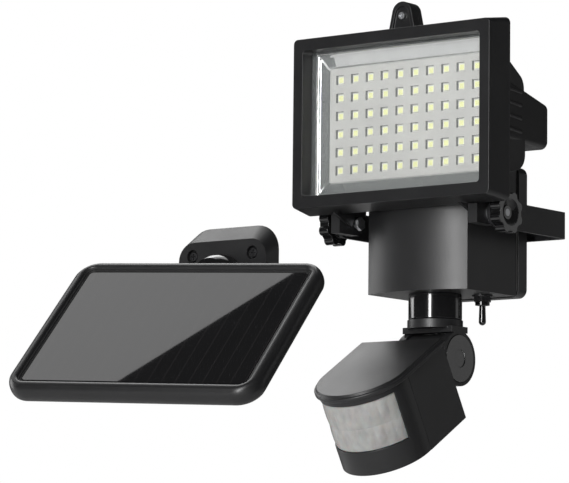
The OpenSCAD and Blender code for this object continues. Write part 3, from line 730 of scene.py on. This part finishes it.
@dataclass
class LampHead:
    """Housing, bezel, reflector, mask and LEDs."""

    columns: int = 10
    rows: int = 6
    pitch: float = 14.7 * MM
    package: float = 5.0 * MM
    well: float = 4.3 * MM
    steps: tuple[tuple[float, float, float], ...] = (
        (-3.2, 0.0, 0.0), (1.4, 0.0, 0.0), (1.7, 0.4, 0.0), (1.9, 2.0, 0.0), (2.3, 2.35, 0.0),
        (3.9, 2.5, 0.0), (4.3, 2.8, 0.0), (0.0, -2.2, 1.0), (0.0, -1.0, 0.5), (0.0, -0.55, -0.1),
    )
    skin: float = 0.15 * MM
    lip_half: tuple[float, float] = (82.2 * MM, 56.2 * MM)
    lip_rise: float = 2.5 * MM
    lip_start: float = 2.4 * MM
    lip_depth: float = 1.4
    lip_wall: float = 0.6
    flange: float = 3.5 * MM
    well_taper: float = 0.86
    well_depth: float = 0.35 * MM
    dome_height: float = 0.12 * MM

    def build(self, shop: Workshop) -> None:
        """Builds the lamp's pieces.

        Args:
            shop: The workshop.
        """
        shop.moulding("housing", "housing_shell", Look.BLACK, 0.7)
        shop.moulding("bezel", "bezel_ring", Look.BEZEL, 0.7)
        mask = shop.moulding("led_mask", "led_mask_plate", Look.MASK, 0.2, steps=2)
        # Faces that do not face out (the window walls) take the dark copy of the mask plastic:
        # painted shade.
        mask.data.materials.append(shop.shelf.take(Look.MASK_WALL_PAINTED_SHADE))
        for face in mask.data.polygons:
            face.material_index = 1 if abs(face.normal.y) < 0.5 else 0
        self.inner_lip(shop)
        self.tray(shop)
        shop.moulding("tab_screw", "lug_screw", Look.STEEL, 0.25, steps=2)
        shop.moulding("lamp_gland", "lamp_cable_gland", Look.BLACK, 0.4)
        self.leds(shop)

    def inner_lip(self, shop: Workshop) -> None:
        """Builds the thin wall behind the gap between the housing's flange and its humps.

        Args:
            shop: The workshop.
        """
        low, high = (Vector(c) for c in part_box("reflector"))
        middle = (low + high) / 2 + Vector((0.0, 0.0, self.lip_rise))
        front = Vector(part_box("bezel")[1]).y + self.lip_start
        rings = []
        wall, deep = self.lip_wall, self.lip_depth
        for inset, depth in ((0.0, 0.0), (0.0, deep), (wall, deep), (wall, 0.0)):
            half = (self.lip_half[0] - inset * MM, self.lip_half[1] - inset * MM)
            rings.append(self.square(half, front + depth * MM, middle))
        mesh = shop.loft("housing_inner_lip", rings)
        mesh.set_sharp_from_angle(angle=math.radians(40))
        shop.stand(mesh, "housing_inner_lip", "head", Look.BLACK, "black_plastic")

    def tray(self, shop: Workshop) -> None:
        """Builds the metallised tray: a flat flange, a step, and walls down to the mask.

        Args:
            shop: The workshop.
        """
        low, high = (Vector(c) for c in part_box("reflector"))
        inner_low, inner_high = (Vector(c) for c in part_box("led_mask"))
        middle = (low + high) / 2
        opening = ((high.x - low.x) / 2 - self.flange, (high.z - low.z) / 2 - self.flange)
        mask = ((inner_high.x - inner_low.x) / 2, (inner_high.z - inner_low.z) / 2)
        front, back = [], []
        for inset, depth, over in self.steps:
            if over or depth < 0:
                half = (mask[0] + (0.15 + over) * MM, mask[1] + (0.15 + over) * MM)
                level = inner_low.y + depth * MM
            else:
                half = (opening[0] - inset * MM, opening[1] - inset * MM)
                level = low.y + depth * MM
            front.append((half, level))
            back.append(((half[0] + 0.5 * MM, half[1] + 0.5 * MM), level + 0.45 * MM))
        back[0] = (front[0][0], front[0][1] + 1.2 * MM)
        rings = [self.square(half, level, middle) for half, level in front + back[::-1]]
        mesh = shop.loft("reflector_tray", rings)
        mesh.set_sharp_from_angle(angle=math.radians(40))
        shop.stand(mesh, "reflector_tray", "head", Look.CHROME, "chrome", "reflector")

    def square(self, half: tuple[float, float], level: float, middle: Vector) -> list[Vector]:
        """Gives a rectangle with small round corners, facing the light's way out.

        Args:
            half: Half its width and height.
            level: Its place along the wall's normal.
            middle: Its middle.

        Returns:
            The points in order.
        """
        corner, steps = 2.0 * MM, 5
        points = []
        for quarter, (sx, sz) in enumerate(((1, 1), (-1, 1), (-1, -1), (1, -1))):
            for step in range(steps + 1):
                angle = math.pi / 2 * (quarter + step / steps)
                x = middle.x + sx * (half[0] - corner) + corner * math.cos(angle)
                z = middle.z + sz * (half[1] - corner) + corner * math.sin(angle)
                points.append(Vector((x, level, z)))
        return points

    def leds(self, shop: Workshop) -> None:
        """Builds the LED packages with a well each, and the phosphor in the wells.

        Args:
            shop: The workshop.
        """
        low, high = (Vector(c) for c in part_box("leds"))
        middle = (low + high) / 2
        frames, gel = bmesh.new(), bmesh.new()
        for i in range(self.columns):
            for j in range(self.rows):
                x = middle.x + (i - (self.columns - 1) / 2) * self.pitch
                z = middle.z + (j - (self.rows - 1) / 2) * self.pitch
                self.package_at(frames, x, z, low.y, high.y)
                self.gel_at(gel, x, z, low.y)
        for shape, name, look, nodes in (
            (frames, "led_packages", Look.CERAMIC, ("leds",)),
            (gel, "led_phosphor_wells", Look.PHOSPHOR, ()),
        ):
            mesh = bpy.data.meshes.new(name)
            bmesh.ops.recalc_face_normals(shape, faces=shape.faces)
            shape.to_mesh(mesh)
            shape.free()
            piece = shop.stand(mesh, name, "head", look, "led_yellow", *nodes)
            if nodes:
                shop.soften(piece, 0.18, 2)

    def package_at(
        self, shape: bmesh.types.BMesh, x: float, z: float, front: float, back: float
    ) -> None:
        """Adds one package with a square well in its front.

        Args:
            shape: The mesh to add to.
            x: Its middle along the wall.
            z: Its middle height.
            front: The front plane.
            back: The back plane.
        """
        rim, well = self.package / 2, self.well / 2
        rings = []
        floor = (well * self.well_taper, front + self.well_depth)
        for half, y in ((rim, back), (rim, front), (well, front), floor):
            corners = ((-half, -half), (half, -half), (half, half), (-half, half))
            rings.append([shape.verts.new((x + dx, y, z + dz)) for dx, dz in corners])
        for low, high in zip(rings, rings[1:]):
            for i in range(4):
                k = (i + 1) % 4
                shape.faces.new((low[i], low[k], high[k], high[i]))
        shape.faces.new(rings[0])
        shape.faces.new(rings[-1])

    def gel_at(self, shape: bmesh.types.BMesh, x: float, z: float, front: float) -> None:
        """Adds the gel in one well, a little domed.

        Args:
            shape: The mesh to add to.
            x: Its middle along the wall.
            z: Its middle height.
            front: The package's front plane.
        """
        half = self.well / 2 * 0.97
        steps = 4
        grid = []
        for a in range(steps + 1):
            row = []
            for b in range(steps + 1):
                u, v = 2 * a / steps - 1, 2 * b / steps - 1
                dome = (1 - u * u) * (1 - v * v)
                y = front + self.skin - self.dome_height * dome
                row.append(shape.verts.new((x + u * half, y, z + v * half)))
            grid.append(row)
        for a in range(steps):
            for b in range(steps):
                quad = (grid[a][b], grid[a + 1][b], grid[a + 1][b + 1], grid[a][b + 1])
                face = shape.faces.new(quad)
                face.smooth = True


@dataclass
class Bracket:
    """The U strap with its bolts and lobed knobs."""

    knob_round: float = 1.3

    def build(self, shop: Workshop) -> None:
        """Builds the strap and the knobs.

        Args:
            shop: The workshop.
        """
        shop.moulding("bracket", "strap_painted", Look.PAINT, 0.45)
        for side in ("left", "right"):
            shop.moulding(f"knob_{side}", f"lobed_knob_{side}", Look.GLOSS, self.knob_round)
            shop.moulding(f"knob_nuts_{side}", f"knob_insert_{side}", Look.GLOSS, 0.3, steps=2)


@dataclass
class BatteryBox:
    """The battery box with its collar, switch and socket."""

    round_front: float = 1.6
    round_back: float = 1.2

    def build(self, shop: Workshop) -> None:
        """Builds the box's pieces.

        Args:
            shop: The workshop.
        """
        shop.moulding("box_front", "box_front_shell", Look.BLACK, self.round_front)
        shop.moulding("box_back", "box_back_shell", Look.FRAME, self.round_back)
        shop.moulding("sensor_collar", "collar_gloss", Look.GLOSS, 0.8)
        shop.moulding("charge_socket", "charge_socket_rim", Look.GLOSS, 0.4)
        shop.moulding("box_gland", "box_cable_gland", Look.BLACK, 0.4)
        shop.moulding("switch_nut", "switch_hex_nut", Look.PAINT, 0.35, steps=2)
        shop.moulding("switch_lever", "switch_toggle", Look.GLOSS, 0.3, steps=2)


@dataclass
class MotionSensor:
    """The sensor's shells, hinge and segmented lens, measured from its tilt axis."""

    axis: tuple[float, float, float] = (0.0, -77.0, -110.0)
    pitch: float = 30.6
    middle_y: float = -92.0
    low: float = -15.1
    high: float = 23.6
    radius: float = 37.6
    wall: float = 1.1
    half_angle: float = 67.6
    columns: int = 11
    across: int = 6

    def build(self, shop: Workshop) -> None:
        """Builds the sensor's pieces.

        Args:
            shop: The workshop.
        """
        shop.moulding("sensor_rear", "sensor_rear_shell", Look.BLACK, 1.0)
        shop.moulding("sensor_front", "sensor_front_shell", Look.FRAME, 1.0)
        shop.moulding("sensor_cover", "sensor_top_cover", Look.BLACK, 1.4)
        shop.moulding("swivel_fork", "hinge_fork", Look.BLACK, 1.0)
        shop.moulding("hinge_cap", "hinge_disc", Look.GLOSS, 0.6)
        shop.moulding("dial_time", "dial_time_knob", Look.DIAL, 0.3, steps=2)
        shop.moulding("dial_lux", "dial_lux_knob", Look.DIAL, 0.3, steps=2)
        shop.stand(
            self.lens_mesh(), "segmented_lens", "sensor", Look.LENS, "lens_milky", "sensor_lens"
        )

    def lens_mesh(self) -> bpy.types.Mesh:
        """Makes the lens: two tiers of slightly bulged lenslets with seams between them.

        Returns:
            The mesh.
        """
        middle = (self.low + self.high) / 2 - 1.0
        tiers = ((self.low, middle), (middle, self.high))
        turn = Matrix.Rotation(math.radians(self.pitch), 4, "X")
        move = Matrix.Translation(Vector(self.axis) * MM)
        rings: list[list[Vector]] = []
        levels: list[tuple[float, float]] = []
        for bottom, top in tiers:
            for share in (0.0, 0.06, 0.3, 0.5, 0.7, 0.94, 1.0):
                levels.append((bottom + (top - bottom) * share, 1 - (2 * share - 1) ** 4))
        for z, swell in levels:
            outside, inside = [], []
            for step in range(self.columns * self.across + 1):
                part = (step % self.across) / self.across
                bulge = (1 - (2 * part - 1) ** 2) * 0.5 * swell + 0.2 * swell
                angle = math.radians(
                    -self.half_angle + 2 * self.half_angle * step / (self.columns * self.across)
                )
                out = self.radius - 0.7 + bulge
                outside.append(self.polar(out, angle, z))
                inside.append(self.polar(self.radius - 0.7 - self.wall, angle, z))
            ring = outside + inside[::-1]
            rings.append([move @ turn @ (p * MM) for p in ring])
        shape = bmesh.new()
        rows = [[shape.verts.new(p) for p in ring] for ring in rings]
        for below, above in zip(rows, rows[1:]):
            for i in range(len(below)):
                k = (i + 1) % len(below)
                shape.faces.new((below[i], below[k], above[k], above[i]))
        count = self.columns * self.across
        for row in (rows[0], rows[-1]):
            for i in range(count):
                k = len(row) - 1 - i
                shape.faces.new((row[i], row[i + 1], row[k - 1], row[k]))
        bmesh.ops.remove_doubles(shape, verts=shape.verts, dist=0.000001)
        bmesh.ops.recalc_face_normals(shape, faces=shape.faces)
        for face in shape.faces:
            face.smooth = True
        mesh = bpy.data.meshes.new("segmented_lens")
        shape.to_mesh(mesh)
        shape.free()
        mesh.set_sharp_from_angle(angle=math.radians(18))
        return mesh

    def polar(self, out: float, angle: float, z: float) -> Vector:
        """Gives a point round the lens's middle.

        Args:
            out: Distance from the middle.
            angle: Angle from straight ahead, in radians.
            z: Height.

        Returns:
            The point, in millimetres from the tilt axis.
        """
        return Vector((out * math.sin(angle), self.middle_y - out * math.cos(angle), z))


@dataclass
class SolarPanel:
    """The panel's rounded frame, pane and back, measured from its ball."""

    ball: tuple[float, float, float] = (-263.0, -24.0, -30.0)
    pan: float = 9.3
    tilt: float = 42.7
    lean: float = 3.0
    middle: tuple[float, float] = (9.0, -112.0)
    pane: tuple[float, float] = (207.0, 147.5)
    corner: float = 4.0
    outer_corner: float = 22.0
    width: float = 13.5
    front: float = 43.5
    corner_steps: int = 12
    lip_rings: int = 10
    section: tuple[tuple[float, float], ...] = (
        (-3.9, -15.5), (-3.9, -6.0), (0.0, -6.0), (0.0, -3.7), (0.2, -3.4), (1.8, -3.3),
        (2.1, -3.0), (2.25, -2.3), (3.4, -2.2), (3.7, -1.9), (3.9, -1.0), (4.3, -0.5), (5.1, -0.12),
        (6.4, 0.0), (7.8, -0.12), (9.3, -0.6), (10.7, -1.5), (11.9, -2.9), (12.8, -4.7),
        (13.35, -6.8), (13.5, -9.0), (13.35, -11.2), (12.8, -13.3), (11.9, -15.1), (10.7, -16.5),
        (9.3, -17.4), (7.8, -17.9), (6.4, -18.0), (3.05, -18.0), (3.05, -15.5),
    )

    def build(self, shop: Workshop) -> None:
        """Builds the panel's pieces.

        Args:
            shop: The workshop.
        """
        frame = shop.stand(
            self.frame_mesh(shop),
            "rounded_panel_frame",
            "panel",
            Look.FRAME,
            "black_plastic",
            "panel_frame",
        )
        # The lip's rings take the darker copy of the frame plastic: painted shade.
        frame.data.materials.append(shop.shelf.take(Look.LIP_PAINTED_SHADE))
        around = 4 * (self.corner_steps + 1)
        for index, face in enumerate(frame.data.polygons):
            face.material_index = 1 if index // around < self.lip_rings else 0
        shop.moulding("panel_glass", "polished_pane", Look.PANE, 0.4, steps=2)
        shop.moulding("panel_back", "panel_back_cover", Look.BLACK, 0.8)
        shop.moulding("panel_arm", "panel_arm_web", Look.BLACK, 1.0)
        shop.moulding("panel_gland", "panel_cable_gland", Look.BLACK, 0.4)

    def pose(self) -> Matrix:
        """Gives the panel's place at rest, from its own millimetres to the row frame."""
        return (
            Matrix.Translation(Vector(self.ball) * MM)
            @ Matrix.Rotation(math.radians(self.pan), 4, "Z")
            @ Matrix.Rotation(math.radians(self.tilt), 4, "X")
            @ Matrix.Rotation(math.radians(self.lean), 4, "Y")
            @ Matrix.Scale(MM, 4)
        )

    def frame_mesh(self, shop: Workshop) -> bpy.types.Mesh:
        """Sweeps the frame's section round the pane.

        Args:
            shop: The workshop.

        Returns:
            The mesh.
        """
        place = self.pose()
        rings = []
        for out, level in self.section:
            corner = self.corner + (self.outer_corner - self.corner) * out / self.width
            corner = max(0.8, corner)
            half = (self.pane[0] / 2 + out, self.pane[1] / 2 + out)
            rings.append([place @ p for p in self.outline(half, corner, self.front + level)])
        mesh = shop.loft("rounded_panel_frame", rings)
        mesh.set_sharp_from_angle(angle=math.radians(50))
        return mesh

    def outline(self, half: tuple[float, float], corner: float, z: float) -> list[Vector]:
        """Gives a rectangle with rounded corners.

        Args:
            half: Half its width and height.
            corner: The corner radius.
            z: Its height above the ball.

        Returns:
            The points, anticlockwise.
        """
        points = []
        for quarter, (sx, sy) in enumerate(((1, 1), (-1, 1), (-1, -1), (1, -1))):
            for step in range(self.corner_steps + 1):
                angle = math.pi / 2 * (quarter + step / self.corner_steps)
                x = self.middle[0] + sx * (half[0] - corner) + corner * math.cos(angle)
                y = self.middle[1] + sy * (half[1] - corner) + corner * math.sin(angle)
                points.append(Vector((x, y, z)))
        return points


@dataclass
class PanelBase:
    """The panel's wall base with its socket, ball and recessed screws."""

    round_base: float = 1.6

    def build(self, shop: Workshop) -> None:
        """Builds the base's pieces.

        Args:
            shop: The workshop.
        """
        shop.moulding("panel_base", "wall_base_moulding", Look.BLACK, self.round_base)
        shop.moulding("socket_ring", "socket_front_ring", Look.GLOSS, 0.5)
        shop.moulding("base_screws", "recessed_screws", Look.PAINT, 0.25, steps=2)


# -------------------------------------------------------------------- the studio


@dataclass
class SoftLight:
    """One rectangular studio light."""

    name: str
    place: tuple[float, float, float]
    aim: tuple[float, float, float]
    size: tuple[float, float]
    radiance: float
    turn: float = 0.0

    def hang(self) -> None:
        """Adds the light."""
        lamp = bpy.data.lights.new(self.name, "AREA")
        lamp.shape = "RECTANGLE"
        lamp.size, lamp.size_y = self.size
        lamp.energy = self.radiance * math.pi * self.size[0] * self.size[1]
        obj = bpy.data.objects.new(self.name, lamp)
        bpy.context.scene.collection.objects.link(obj)
        line = Vector(self.aim) - Vector(self.place)
        facing = line.to_track_quat("-Z", "Y").to_matrix().to_4x4()
        obj.matrix_world = (
            Matrix.Translation(self.place)
            @ facing
            @ Matrix.Rotation(math.radians(self.turn), 4, "Z")
        )


@dataclass
class Studio:
    """Camera, pale floor, backdrop glow and lights."""

    eye: tuple[float, float, float] = (1.602, -2.363, -0.337)
    right: tuple[float, float, float] = (0.7941, 0.6077, 0.0110)
    up: tuple[float, float, float] = (0.0607, -0.0972, 0.9934)
    lens: float = 222.6
    floor_drop: float = 0.35
    card_size: tuple[float, float] = (2.4, 1.2)
    card_place: tuple[float, float, float] = (-1.451, 0.415, 1.6)
    card_turn: float = 42.8
    card_radiance: float = 1.45

    def build(self, low: Vector, high: Vector) -> None:
        """Builds the studio round the object.

        Args:
            low: The object's lowest corner.
            high: Its highest corner.
        """
        self.camera()
        self.floor(low)
        self.glow()
        middle = tuple((low + high) / 2)
        head = (0.0, -0.10, 0.03)
        lights = (
            SoftLight("key_front", (0.46, -2.25, 0.35), head, (0.34, 1.7), 27.0),
            SoftLight("left_side", (-2.2, -0.45, 0.3), head, (0.8, 1.5), 3.4),
            SoftLight("back_left_high", (-1.25, 0.95, 1.35), middle, (1.3, 0.8), 2.4),
            SoftLight("front_fill", (0.3, -2.6, 1.7), middle, (1.8, 1.0), 1.6),
            SoftLight("right_rim", (1.75, 2.2, 0.4), head, (0.9, 1.5), 0.42),
        )
        for light in lights:
            light.hang()
        self.card()

    def camera(self) -> None:
        """Adds the camera."""
        data = bpy.data.cameras.new("camera")
        data.lens = self.lens
        data.sensor_width = 36.0
        data.sensor_fit = "HORIZONTAL"
        data.clip_start = 0.05
        data.clip_end = 50.0
        obj = bpy.data.objects.new("camera", data)
        bpy.context.scene.collection.objects.link(obj)
        right = Vector(self.right).normalized()
        up = Vector(self.up)
        up = (up - right * up.dot(right)).normalized()
        back = right.cross(up)
        turn = Matrix((right, up, back)).transposed().to_4x4()
        obj.matrix_world = Matrix.Translation(self.eye) @ turn
        bpy.context.scene.camera = obj

    def floor(self, low: Vector) -> None:
        """Adds the plain pale floor.

        Args:
            low: The object's lowest corner.
        """
        shape = bmesh.new()
        level = low.z - self.floor_drop
        corners = ((-4, -4), (4, -4), (4, 4), (-4, 4))
        shape.faces.new([shape.verts.new((x, y, level)) for x, y in corners])
        mesh = bpy.data.meshes.new("floor")
        shape.to_mesh(mesh)
        shape.free()
        sheet = Sheet("pale_floor")
        paper = sheet.noise(14.0, 4.0)
        sheet.shade(
            Base_Color=sheet.mix(paper, (0.80, 0.80, 0.80), (0.84, 0.84, 0.84)), Roughness=0.8
        )
        mesh.materials.append(sheet.material)
        floor = bpy.data.objects.new("floor", mesh)
        bpy.context.scene.collection.objects.link(floor)
        floor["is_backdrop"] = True

    def glow(self) -> None:
        """Sets a white backdrop and a dimmer surrounding light."""
        world = bpy.data.worlds.new("studio")
        world.use_nodes = True
        tree = world.node_tree
        tree.nodes.clear()
        path = tree.nodes.new("ShaderNodeLightPath")
        seen = tree.nodes.new("ShaderNodeBackground")
        seen.inputs["Color"].default_value = (1.0, 1.0, 1.0, 1.0)
        around = tree.nodes.new("ShaderNodeBackground")
        around.inputs["Color"].default_value = (1.0, 1.0, 1.0, 1.0)
        around.inputs["Strength"].default_value = 0.05
        either = tree.nodes.new("ShaderNodeMixShader")
        output = tree.nodes.new("ShaderNodeOutputWorld")
        tree.links.new(path.outputs["Is Camera Ray"], either.inputs[0])
        tree.links.new(around.outputs[0], either.inputs[1])
        tree.links.new(seen.outputs[0], either.inputs[2])
        tree.links.new(either.outputs[0], output.inputs[0])
        bpy.context.scene.world = world
        bpy.context.scene.view_settings.view_transform = "Standard"

    def card(self) -> None:
        """Hangs the grey card that the solar pane mirrors."""
        lamp = bpy.data.lights.new("pane_card", "AREA")
        lamp.shape = "RECTANGLE"
        lamp.size, lamp.size_y = self.card_size
        lamp.energy = self.card_radiance * math.pi * self.card_size[0] * self.card_size[1]
        card = bpy.data.objects.new("pane_card", lamp)
        bpy.context.scene.collection.objects.link(card)
        card.matrix_world = Matrix.Translation(self.card_place) @ Matrix.Rotation(
            math.radians(self.card_turn), 4, "Z"
        )


def main() -> None:
    """Builds the light, dresses it and reports each piece."""
    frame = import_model()
    low, high = (Vector(c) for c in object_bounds())
    Studio().build(low, high)
    shop = Workshop(frame, Shelf())
    shop.dress_rest()
    for assembly in (
        LampHead(),
        Bracket(),
        BatteryBox(),
        MotionSensor(),
        SolarPanel(),
        PanelBase(),
    ):
        assembly.build(shop)
        LOG.info("%s is built", type(assembly).__name__)


if __name__ == "__main__":
    main()
